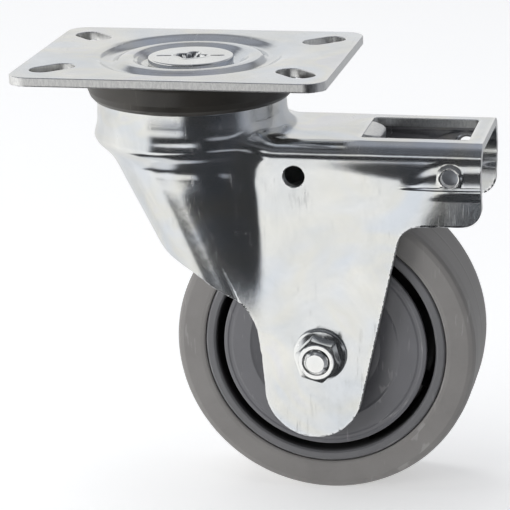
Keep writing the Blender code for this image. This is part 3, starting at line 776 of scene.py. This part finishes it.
def build_bolt():
    """The axle bolt: its hexagon head at the far side, its shank, and its thread at the nut."""
    back, end = axle_span("axle_bolt")
    face = back + BOLT_HEAD
    thread_start = face + THREAD_START

    def shape(r, angle, z):
        hexed = on_hex(r)
        flank = hex_radius(angle)
        raised = np.maximum(z, back + 0.5 * (flank - HEX_FLATS / 2 + 0.1))
        turn = (z / THREAD_PITCH - angle / (2.0 * math.pi)) % 1.0
        threaded = (z > thread_start) & (r > 3.2) & (r < 4.1)
        thread = THREAD_DEPTH * np.abs(2.0 * turn - 1.0) * threaded * smoothstep(end - z, 0.0, 1.0)
        return np.where(hexed, flank, r) - thread, np.where(hexed & (z < face - 1.0), raised, z)

    thread_ends = [np.array((BOLT_RADIUS, end - 0.9)), np.array((BOLT_RADIUS, thread_start))]
    outline = [(0.0, end), (1.5, end), (3.0, end), (3.95, end - 0.85)]
    outline += [tuple(p) for p in divided(thread_ends, 0.16)[:-1]]
    outline += [(BOLT_RADIUS, face + 0.4), (4.3, face), (HEX_MARK, face), (HEX_MARK, face - 2.0)]
    outline += [(HEX_MARK, back + 0.9), (HEX_MARK, back + 0.02), (6.3, back), (5.2, back + 0.1)]
    outline += [(0.0, back + 0.22)]
    turned_piece(
        "hex_bolt", outline, "fork", "axle_bolt", "bright_zinc",
        steps=168, shape=shape, axle=True, angle=28.0,
    )


def build_sleeve():
    """The tube on the bolt, which keeps the two bearings apart."""
    low, high = node_box("axle_tube")
    tube = ring_section(4.3, (high.x - low.x) / 2, high.y, -high.y, 0.3)
    turned_piece("axle_sleeve", tube, "fork", "axle_tube", "bearing_steel", 64, axle=True)


def build_spacer(side):
    """The washer-like sleeve between one bearing and the leg."""
    far, near = axle_span(f"{side}_spacer")
    turned_piece(
        f"{side}_washer_sleeve", ring_section(BEARING_BORE, 8.0, near, far, 0.2, 0.5),
        "fork", f"{side}_spacer", "zinc_plate", steps=64, axle=True,
    )


def ball_groove(shoulder, slope, floor, middle):
    """A ball groove's points along its ring, from the near side to the far side."""
    near_half = [(shoulder, 1.8, 0.1), (slope, 1.0, 0.8), (floor, 0.0, 1.0)]
    points = near_half + flipped(near_half[:2])
    return [(radius, middle + offset, fillet) for radius, offset, fillet in points]


def build_bearing(side):
    """One side's ball bearing: the inner and outer rings, the balls in their cage, and the shield."""
    far, near = axle_span(f"{side}_inner_ring")
    middle = (far + near) / 2
    inner = [(BEARING_BORE, near, 0.5), (INNER_SHOULDER, near, 0.2)]
    inner += ball_groove(INNER_SHOULDER, 7.4, 7.3, middle)
    inner += [(INNER_SHOULDER, far, 0.2), (BEARING_BORE, far, 0.5)]
    outer = ring_section(OUTER_SHOULDER, BEARING_RIM, near, far, 0.2, 0.6)
    outer += reversed(ball_groove(OUTER_SHOULDER, 12.6, 12.7, middle))
    for part, body, outline in (("inner", "fork", inner), ("outer", "wheel", outer)):
        turned_piece(
            f"{side}_bearing_{part}", outline, body, f"{side}_{part}_ring",
            "bearing_steel", steps=72, axle=True,
        )
    turned_piece(
        f"{side}_bearing_cage", ring_section(9.3, 10.7, middle + 0.45, middle - 0.45, 0.2),
        f"{side}_race", f"{side}_bearing_balls", "ball_steel", steps=140,
        shape=cage_shape(10.0, 7, 0.6, 0.3, middle), axle=True, extra=balls(10.0, 2.4, 7, middle),
    )


def build_shield(side):
    """One bearing's black seal, with a shallow groove round its near face."""
    far, near = axle_span(f"{side}_bearing_seal")
    sunk = near - 0.12
    shield = [(8.7, near, 0.15), (9.5, near, 0.1), (9.7, sunk, 0.1), (10.4, sunk, 0.1), (10.6, near, 0.1)]
    shield += [(11.3, near, 0.15), (11.3, far, 0.15), (8.7, far, 0.15)]
    turned_piece(
        f"{side}_bearing_shield", shield, "wheel", f"{side}_bearing_seal",
        "black_rubber", steps=72, axle=True,
    )


# Wheel

RIB_COUNT, RIB_THICK, RIB_HEIGHT = 8, 2.4, 11.5
WEB_HALF, HUB_HALF, RIM_HALF = 2.5, 12.8, 15.8


def build_tyre():
    """The solid tyre: flat sides, rounded shoulders and a fine mould line round its tread."""
    radius, half = WHEEL_RADIUS, TYRE_HALF
    side = [(40.6, half - 0.5, 0.3), (41.1, half - 0.15, 0.3), (42.2, half, 0.5)]
    side += [(radius - 2.6, half, 1.2), (radius - 1.0, half - 0.5, 1.0)]
    side += [(radius - 0.3, half - 1.9, 1.3), (radius, half - 6.0, 4.0)]
    mould_line = [(radius, 0.5), (radius + 0.07, 0.22), (radius + 0.07, -0.22), (radius, -0.5)]
    tyre = side + mould_line + flipped(side)
    turned_piece("rubber_tyre", tyre, "wheel", "tyre", "grey_rubber", 256, 1.0, axle=True)


def rib_angles():
    """The moulded centre's angles: close together at each rib's sides, and even between ribs."""
    spacing = 2.0 * math.pi / RIB_COUNT
    angles = []
    for i in range(RIB_COUNT):
        middle = 2.0 * math.pi * (i + 0.5) / RIB_COUNT
        for offset in (-1.0, -0.62, -0.5, 0.0, 0.5, 0.62, 1.0):
            angles.append(middle + offset * RIB_THICK / 27.0)
        angles += list(np.linspace(middle + 0.13, middle + spacing - 0.13, 14))
    return np.array(angles)


def rib_shape(r, angle, z):
    """Raises ribs of even thickness on both faces of the web."""
    spacing = 2.0 * math.pi / RIB_COUNT
    across = np.abs((angle / spacing) % 1.0 - 0.5) * spacing * r
    rib = 1.0 - smoothstep(across, RIB_THICK / 2, RIB_THICK / 2 + 0.5)
    on_web = (r > 18.9) & (r < 36.6) & (np.abs(z) < RIB_HEIGHT)
    return r, np.where(on_web, np.sign(z) * (np.abs(z) + (RIB_HEIGHT - np.abs(z)) * rib), z)


def build_centre():
    """The wheel's moulded hub, ribbed web and rim."""
    half = [(11.5, 4.2, 0.2), (14.3, 4.2, 0.1), (14.3, HUB_HALF, 0.4), (18.5, HUB_HALF, 0.6)]
    half += [(19.3, WEB_HALF, 1.2), (35.9, WEB_HALF, 1.2), (37.1, 15.2, 0.4)]
    half += [(37.7, RIM_HALF, 0.4), (39.8, RIM_HALF, 0.5), (40.3, 15.2, 0.2)]
    turned_piece(
        "moulded_centre", half + flipped(half), "wheel", "wheel_centre", "grey_plastic",
        longest=2.5, shape=rib_shape, axle=True, angles=rib_angles(),
    )


def build_cover(side, sign):
    """One side's cover disc, dished round the axle."""
    low, high = node_box(f"{side}_thread_guard")
    rim = (high.x - low.x) / 2
    face = [(8.4, 15.2, 0.2), (9.4, 15.2, 0.3), (9.9, 14.9, 0.3), (13.6, 14.9, 0.3), (14.2, 14.6, 0.3)]
    face += [(18.4, 14.5, 1.0), (24.4, 15.8, 1.0), (25.2, 16.1, 0.8), (31.0, 16.0, 0.6)]
    face += [(31.6, 15.85, 0.3), (32.4, 15.85, 0.3), (32.9, 16.0, 0.3), (rim - 0.15, 15.9, 0.4)]
    back = [(rim, 14.4, 0.3), (25.4, 14.5, 0.8), (20.4, 13.3, 0.8), (8.4, 13.3, 0.2)]
    corners = [(radius, sign * height, fillet) for radius, height, fillet in face + back]
    turned_piece(
        f"{side}_cover_disc", corners, "wheel", f"{side}_thread_guard", "grey_plastic",
        steps=180, longest=1.2, axle=True, look="cover",
    )


# Materials


class Nodes:
    """Short calls for building a node tree."""

    def __init__(self, tree, coords="Object"):
        self.tree = tree
        self.coords = self.add("ShaderNodeTexCoord").outputs[coords]

    def feed(self, socket, value):
        """Gives an input another node's output, a colour or a plain value."""
        if isinstance(value, bpy.types.NodeSocket):
            self.tree.links.new(value, socket)
        elif isinstance(value, tuple) and socket.type == "RGBA":
            socket.default_value = (*value, 1.0)
        else:
            socket.default_value = value

    def add(self, kind, inputs=None, **settings):
        node = self.tree.nodes.new(kind)
        for key, value in settings.items():
            setattr(node, key, value)
        for key, value in (inputs or {}).items():
            self.feed(node.inputs[key], value)
        return node

    def stretched(self, scale, turn=(0.0, 0.0, 0.0)):
        inputs = {"Vector": self.coords, "Scale": scale, "Rotation": turn}
        return self.add("ShaderNodeMapping", inputs).outputs["Vector"]

    def noise(self, scale, detail=4.0, roughness=0.55, vector=None, distortion=0.0):
        inputs = {"Scale": scale, "Detail": detail, "Roughness": roughness, "Distortion": distortion}
        inputs["Vector"] = vector or self.coords
        return self.add("ShaderNodeTexNoise", inputs).outputs["Fac"]

    def ramp(self, value, stops):
        node = self.add("ShaderNodeValToRGB", {"Fac": value})
        ramp = node.color_ramp
        while len(ramp.elements) < len(stops):
            ramp.elements.new(0.5)
        for element, (place, colour) in zip(ramp.elements, stops):
            element.position = place
            element.color = (*colour, 1.0) if isinstance(colour, tuple) else (colour, colour, colour, 1.0)
        return node.outputs["Color"]

    def math(self, operation, a, b=0.0, clamp=False):
        inputs = {0: a, 1: b}
        return self.add("ShaderNodeMath", inputs, operation=operation, use_clamp=clamp).outputs[0]

    def mix(self, factor, a, b, blend="MIX"):
        inputs = {0: factor, 6: a, 7: b}
        return self.add("ShaderNodeMix", inputs, data_type="RGBA", blend_type=blend).outputs[2]

    def bump(self, height, strength, distance, normal=None):
        inputs = {"Strength": strength, "Distance": distance, "Height": height}
        if normal:
            inputs["Normal"] = normal
        return self.add("ShaderNodeBump", inputs).outputs["Normal"]

    def edges(self, start, end):
        """High on convex edges: a mask for worn edges and painted edge highlights."""
        return self.ramp(self.add("ShaderNodeNewGeometry").outputs["Pointiness"], [(start, 0.0), (end, 1.0)])

    def scratches(self, density=0.62):
        """Fine straight scratches in a few directions, as a mask."""
        total = None
        for turn, scale in ((0.35, 1.0), (1.25, 1.4), (2.4, 0.8)):
            lengthwise = self.stretched((900.0 * scale, 110.0, 110.0), (0.3 * turn, turn, turn * 1.7))
            streaks = self.noise(1.0, 2.0, 0.5, lengthwise)
            line = self.ramp(streaks, [(density, 0.0), (density + 0.05, 1.0)])
            turned = self.stretched((1.0, 1.0, 1.0), (turn, 0.0, 0.0))
            patch = self.ramp(self.noise(38.0 * scale, 2.0, 0.5, turned), [(0.52, 0.0), (0.62, 1.0)])
            mask = self.product(line, patch)
            total = mask if total is None else self.largest(total, mask)
        return total

    def rising(self, value, start, end):
        """0 below start, 1 above end and smooth between."""
        inputs = {"Value": value, "From Min": start, "From Max": end}
        return self.add("ShaderNodeMapRange", inputs, interpolation_type="SMOOTHSTEP").outputs["Result"]

    def falling(self, value, start, end):
        return self.math("SUBTRACT", 1.0, self.rising(value, start, end))

    def band(self, value, start, full, fade, end):
        """0 outside start and end, and 1 from full to fade."""
        return self.product(self.rising(value, start, full), self.falling(value, fade, end))

    def product(self, first, *others):
        for other in others:
            first = self.math("MULTIPLY", first, other)
        return first

    def largest(self, first, *others):
        for other in others:
            first = self.math("MAXIMUM", first, other)
        return first


class Look(Nodes):
    """A material's nodes, round its Principled shader."""

    def __init__(self, name):
        self.material = bpy.data.materials.new(name)
        self.material.use_nodes = True
        super().__init__(self.material.node_tree)
        self.shader = self.tree.nodes["Principled BSDF"]

    def set(self, name, value):
        """Sets one of the shader's inputs."""
        self.feed(self.shader.inputs[name], value)

    def finish(self, colour, roughness, normal):
        self.set("Base Color", colour)
        self.set("Roughness", roughness)
        self.set("Normal", normal)
        return self.material


ZINC_TINTS = [
    (0.36, (0.72, 0.80, 0.94)),
    (0.47, (0.82, 0.83, 0.84)),
    (0.56, (0.93, 0.88, 0.74)),
    (0.66, (0.80, 0.78, 0.86)),
]


def zinc_material(name, dark, light, rough_low, rough_high, dents=1.0, tint=0.35):
    """Zinc-plated steel: cloudy brightness, faint rainbow tints, scuffs and shallow dents."""
    n = Look(name)
    n.set("Metallic", 0.97)
    clouds = n.noise(46.0, 5.0, 0.6, None, 0.6)
    colour = n.mix(n.ramp(clouds, [(0.32, 0.0), (0.68, 1.0)]), dark, light)
    hue = n.ramp(n.noise(30.0, 2.0, 0.5, None, 1.2), ZINC_TINTS)
    colour = n.mix(tint, colour, hue, "MULTIPLY")
    scratch = n.scratches()
    colour = n.mix(n.product(scratch, 0.25), colour, (0.93, 0.94, 0.95))
    # Convex edges are lightened towards near white: partly wear, partly a painted highlight where light
    # catches their rounded corners.
    edge_wear_and_highlight = n.edges(0.505, 0.56)
    colour = n.mix(n.product(edge_wear_and_highlight, 0.55), colour, (0.95, 0.95, 0.95))
    grain = n.noise(900.0, 3.0, 0.6)
    rough = n.math("ADD", n.product(clouds, rough_high - rough_low), rough_low)
    rough = n.math("ADD", rough, n.product(grain, 0.06))
    rough = n.math("ADD", rough, n.product(scratch, 0.12), True)
    normal = n.bump(n.noise(70.0, 2.0, 0.4), 0.06 * dents, 0.0012)
    normal = n.bump(n.noise(420.0, 3.0, 0.6), 0.035, 0.0003, normal)
    normal = n.bump(grain, 0.03, 0.0001, normal)
    normal = n.bump(scratch, 0.05, -0.00004, normal)
    return n.finish(colour, rough, normal)


def sheared_material():
    """The cut edges of the sheet: bright metal, dotted with torn flecks."""
    n = Look("sheared_edge")
    n.set("Metallic", 1.0)
    torn = n.noise(1500.0, 4.0, 0.7, n.stretched((1.0, 1.0, 0.35)))
    spots = n.ramp(torn, [(0.42, 0.0), (0.6, 1.0)])
    colour = n.mix(spots, (0.76, 0.76, 0.76), (0.92, 0.92, 0.91))
    normal = n.bump(torn, 0.10, 0.0002)
    return n.finish(colour, n.math("ADD", n.product(torn, 0.2), 0.24), normal)


def steel_material(name, colour_a, colour_b, roughness):
    """Ground or turned steel with a fine lay."""
    n = Look(name)
    n.set("Metallic", 1.0)
    clouds = n.noise(120.0, 4.0, 0.6)
    colour = n.mix(clouds, colour_a, colour_b)
    # Convex edges are lightened towards near white: partly wear, partly a painted highlight where light
    # catches their rounded corners.
    edge_wear_and_highlight = n.edges(0.51, 0.58)
    colour = n.mix(n.product(edge_wear_and_highlight, 0.5), colour, (0.96, 0.96, 0.96))
    lay = n.noise(2600.0, 2.0, 0.6)
    rough = n.math("ADD", n.product(clouds, 0.12), roughness)
    return n.finish(colour, rough, n.bump(lay, 0.07, 0.00008))


def recess_painted_shade(n):
    """Painted shade: a mask of the deep ring between the wheel's rim and its cover discs, where shadow falls.
    """
    split = n.add("ShaderNodeSeparateXYZ", {0: n.coords})
    x = n.math("SUBTRACT", split.outputs[0], AXLE_X * MM)
    z = n.math("SUBTRACT", split.outputs[2], AXLE_Z * MM)
    radius = n.math("SQRT", n.math("ADD", n.product(x, x), n.product(z, z)))
    depth = n.math("ABSOLUTE", split.outputs[1])
    return n.product(n.falling(radius, 0.0368, 0.0373), n.falling(depth, 0.0130, 0.0150))


def moulded_material(
    name, dark, light, roughness, grain_scale, bump,
    gloss=0.5, sheen=0.0, dust=(0.5, 0.49, 0.48), painted_recess_shade=False,
):
    """Moulded rubber or plastic: slight clouding, fine grain, dusty scuffs, edges lightened by rubbing and
    painted highlight, and painted shade in the wheel's deep ring when asked.
    """
    n = Look(name)
    n.set("Specular IOR Level", gloss)
    n.set("Sheen Weight", sheen)
    clouds = n.noise(55.0, 5.0, 0.6, None, 0.4)
    colour = n.mix(n.ramp(clouds, [(0.3, 0.0), (0.7, 1.0)]), dark, light)
    grain = n.noise(grain_scale, 3.0, 0.65)
    colour = n.mix(n.product(n.ramp(grain, [(0.45, 0.0), (0.75, 1.0)]), 0.25), colour, light)
    scuff = n.scratches(0.66)
    colour = n.mix(n.product(scuff, 0.22), colour, dust)
    # Convex edges are lightened towards the dust colour: rubbing, and partly a painted edge highlight.
    edge_wear_and_highlight = n.edges(0.505, 0.57)
    colour = n.mix(n.product(edge_wear_and_highlight, 0.25), colour, dust)
    # Painted shade: the deep ring round the wheel's rim is mixed to near black, standing for the shadow that
    # falls there.
    if painted_recess_shade:
        colour = n.mix(n.product(recess_painted_shade(n), 0.9), colour, (0.012, 0.011, 0.011))
    rough = n.math("ADD", n.product(clouds, 0.16), roughness - 0.08)
    rough = n.math("ADD", rough, n.product(scuff, 0.1), True)
    normal = n.bump(grain, bump, 0.00025)
    normal = n.bump(n.noise(60.0, 2.0, 0.5), 0.08, 0.0008, normal)
    return n.finish(colour, rough, normal)


# Studio

FLOOR_REACH, FLOOR_GLOW = 6.0, 0.42
LAMP_TARGET = (0.03, 0.0, -0.07)


def area_light(name, place, size, power):
    """A soft lamp that lights matt surfaces; the metal mirrors the world's panels instead."""
    light = bpy.data.lights.new(name, "AREA")
    light.shape = "SQUARE"
    light.size = size
    light.energy = power
    lamp = bpy.data.objects.new(name, light)
    bpy.context.scene.collection.objects.link(lamp)
    lamp.location = place
    lamp.rotation_euler = (Vector(LAMP_TARGET) - Vector(place)).to_track_quat("-Z", "Y").to_euler()
    lamp.visible_glossy = lamp.visible_camera = False


def world_panels(n, turn, rise):
    """The studio's pale panels, each a patch of directions in degrees, as one mask.

    Turn is measured from the near side towards +X, and rise from the horizon upwards.
    """
    slope = n.product(n.largest(turn, -37.2), 0.5)
    drop = n.math("ADD", n.product(n.falling(turn, -74, -58), 5), 20)
    above_edge = n.math("SUBTRACT", rise, n.math("SUBTRACT", slope, drop))
    low_front = n.product(n.falling(turn, -3, 6), n.rising(above_edge, -1, 1), n.falling(rise, -12, -5))
    floor_patch = n.largest(
        n.falling(turn, -50, -20),
        n.product(n.rising(turn, 55, 85), 0.6),
        n.falling(rise, -80, -66),
    )
    below = n.product(n.falling(rise, -58, -51), floor_patch, 0.8)
    left = n.product(n.falling(turn, -44, -34), n.band(rise, -20, -16, 24, 40))
    far_left = n.product(n.falling(turn, -96, -82), n.falling(rise, 24, 40))
    right = n.product(n.rising(turn, 60, 82), n.band(rise, -50, -40, 20, 34), 0.4)
    back_right = n.product(n.rising(turn, 105, 130), n.falling(rise, 24, 40), 0.6)
    strip = n.product(n.band(rise, 17, 20, 25, 29), n.band(turn, -42, -34, 10, 20))
    glint = n.product(n.band(turn, 24, 40, 60, 84), n.band(rise, -7, -2, 3, 9), 0.42)
    return n.largest(low_front, below, right, left, far_left, back_right, strip, glint)


def build_world():
    """A box of light for the metal to mirror: pale low down, at the left and behind, dark elsewhere."""
    world = bpy.data.worlds.new("studio")
    bpy.context.scene.world = world
    world.use_nodes = True
    n = Nodes(world.node_tree, "Generated")
    x, y, z = n.add("ShaderNodeSeparateXYZ", {0: n.coords}).outputs
    round_z = n.math("ARCTAN2", x, n.product(y, -1.0))
    turn = n.product(round_z, math.degrees(1.0))
    rise = n.product(n.math("ARCSINE", z), math.degrees(1.0))
    panels = world_panels(n, turn, rise)
    towards_back = n.product(n.rising(y, -0.4, 0.3), 0.26)
    above = n.product(n.rising(rise, 26.0, 44.0), n.math("ADD", 0.09, towards_back))
    towards_right = n.product(n.rising(turn, 35.0, 80.0), 0.05)
    dark = n.math("ADD", n.math("ADD", above, 0.024), towards_right)
    pale = n.math("SUBTRACT", 1.06, n.product(n.rising(y, -0.3, 0.6), 0.22))
    level = n.largest(n.product(panels, pale), dark)
    tint = n.mix(panels, (0.93, 0.97, 1.06), (1.0, 1.0, 0.985))
    background = n.tree.nodes["Background"]
    n.feed(background.inputs["Color"], tint)
    n.feed(background.inputs["Strength"], level)


def build_floor(height):
    """A plain pale floor, which the metal doesn't mirror."""
    signs = ((-1, -1), (1, -1), (1, 1), (-1, 1))
    corners = [(x * FLOOR_REACH, y * FLOOR_REACH, height) for x, y in signs]
    mesh = bpy.data.meshes.new("floor")
    mesh.from_pydata(corners, [], [(0, 1, 2, 3)])
    n = Look("pale_floor")
    tone = n.mix(n.noise(3.0, 2.0), (0.88, 0.88, 0.88), (0.92, 0.92, 0.92))
    n.set("Roughness", 0.9)
    n.set("Emission Color", (1.0, 1.0, 1.0))
    n.set("Emission Strength", FLOOR_GLOW)
    n.set("Base Color", tone)
    mesh.materials.append(n.material)
    floor = bpy.data.objects.new("floor", mesh)
    bpy.context.scene.collection.objects.link(floor)
    floor.visible_glossy = False


# The camera's angles in degrees, its place in metres, and its lens and sensor in millimetres.
CAMERA_AZIMUTH, CAMERA_ELEVATION, CAMERA_ROLL = 12.63, 17.13, -1.56
CAMERA_PLACE = (0.18868, -0.75313, 0.16922)
CAMERA_LENS, CAMERA_SENSOR = 169.4, 36.0


def build_camera():
    """The photograph's view: turned and tilted towards the castor, then rolled a little."""
    data = bpy.data.cameras.new("camera")
    data.lens = CAMERA_LENS
    data.sensor_width = CAMERA_SENSOR
    data.clip_start = 0.01
    heading = Matrix.Rotation(math.radians(CAMERA_AZIMUTH), 4, "Z")
    tilt = Matrix.Rotation(math.radians(90.0 - CAMERA_ELEVATION), 4, "X")
    roll = Matrix.Rotation(math.radians(CAMERA_ROLL), 4, "Z")
    camera = bpy.data.objects.new("camera", data)
    bpy.context.scene.collection.objects.link(camera)
    camera.matrix_world = Matrix.Translation(CAMERA_PLACE) @ heading @ tilt @ roll
    bpy.context.scene.camera = camera


def build_looks():
    zinc = zinc_material("zinc_plate_look", (0.70, 0.72, 0.74), (0.84, 0.85, 0.86), 0.08, 0.15)
    return {
        "zinc_plate": zinc,
        "sheared": sheared_material(),
        "bright_zinc": zinc_material(
            "bright_zinc_look", (0.76, 0.77, 0.78), (0.90, 0.91, 0.91), 0.07, 0.14, 0.4, 0.15,
        ),
        "bearing_steel": steel_material("bearing_steel_look", (0.55, 0.56, 0.57), (0.72, 0.73, 0.74), 0.2),
        "ball_steel": steel_material("ball_look", (0.68, 0.69, 0.70), (0.80, 0.81, 0.82), 0.08),
        "dark_seal": moulded_material(
            "seal_look", (0.018, 0.016, 0.0135), (0.034, 0.030, 0.025), 0.34, 900.0, 0.08,
            gloss=0.6, dust=(0.15, 0.138, 0.12),
        ),
        "black_rubber": moulded_material(
            "shield_look", (0.02, 0.02, 0.02), (0.045, 0.045, 0.045), 0.5, 900.0, 0.1,
        ),
        "grey_rubber": moulded_material(
            "tyre_look", (0.205, 0.196, 0.190), (0.245, 0.235, 0.227), 0.5, 1100.0, 0.10,
            gloss=0.6, sheen=0.03,
        ),
        "grey_plastic": moulded_material(
            "centre_look", (0.125, 0.125, 0.132), (0.15, 0.15, 0.158), 0.36, 1000.0, 0.05,
            gloss=0.7, painted_recess_shade=True,
        ),
        "cover": moulded_material(
            "cover_look", (0.12, 0.12, 0.130), (0.145, 0.145, 0.157), 0.32, 1000.0, 0.05, gloss=0.8,
        ),
    }


def build():
    LOOKS.update(build_looks())
    build_fork()
    build_plate()
    build_kingpin()
    build_lower_race()
    for race in BALL_RACES:
        build_ball_race(*race)
    build_dust_seal()
    build_nut()
    build_bolt()
    build_sleeve()
    for side in ("near", "far"):
        build_spacer(side)
        build_bearing(side)
        build_shield(side)
    build_tyre()
    build_centre()
    for side, sign in (("near", 1.0), ("far", -1.0)):
        build_cover(side, sign)
    build_floor(CAD_BOX[0][2])
    build_world()
    area_light("key", (-0.42, -0.46, -0.02), 0.28, 2.0)
    area_light("top", (-0.5, 0.2, 1.7), 1.4, 12.5)
    build_camera()
    bpy.context.scene.view_settings.view_transform = "Standard"


build()
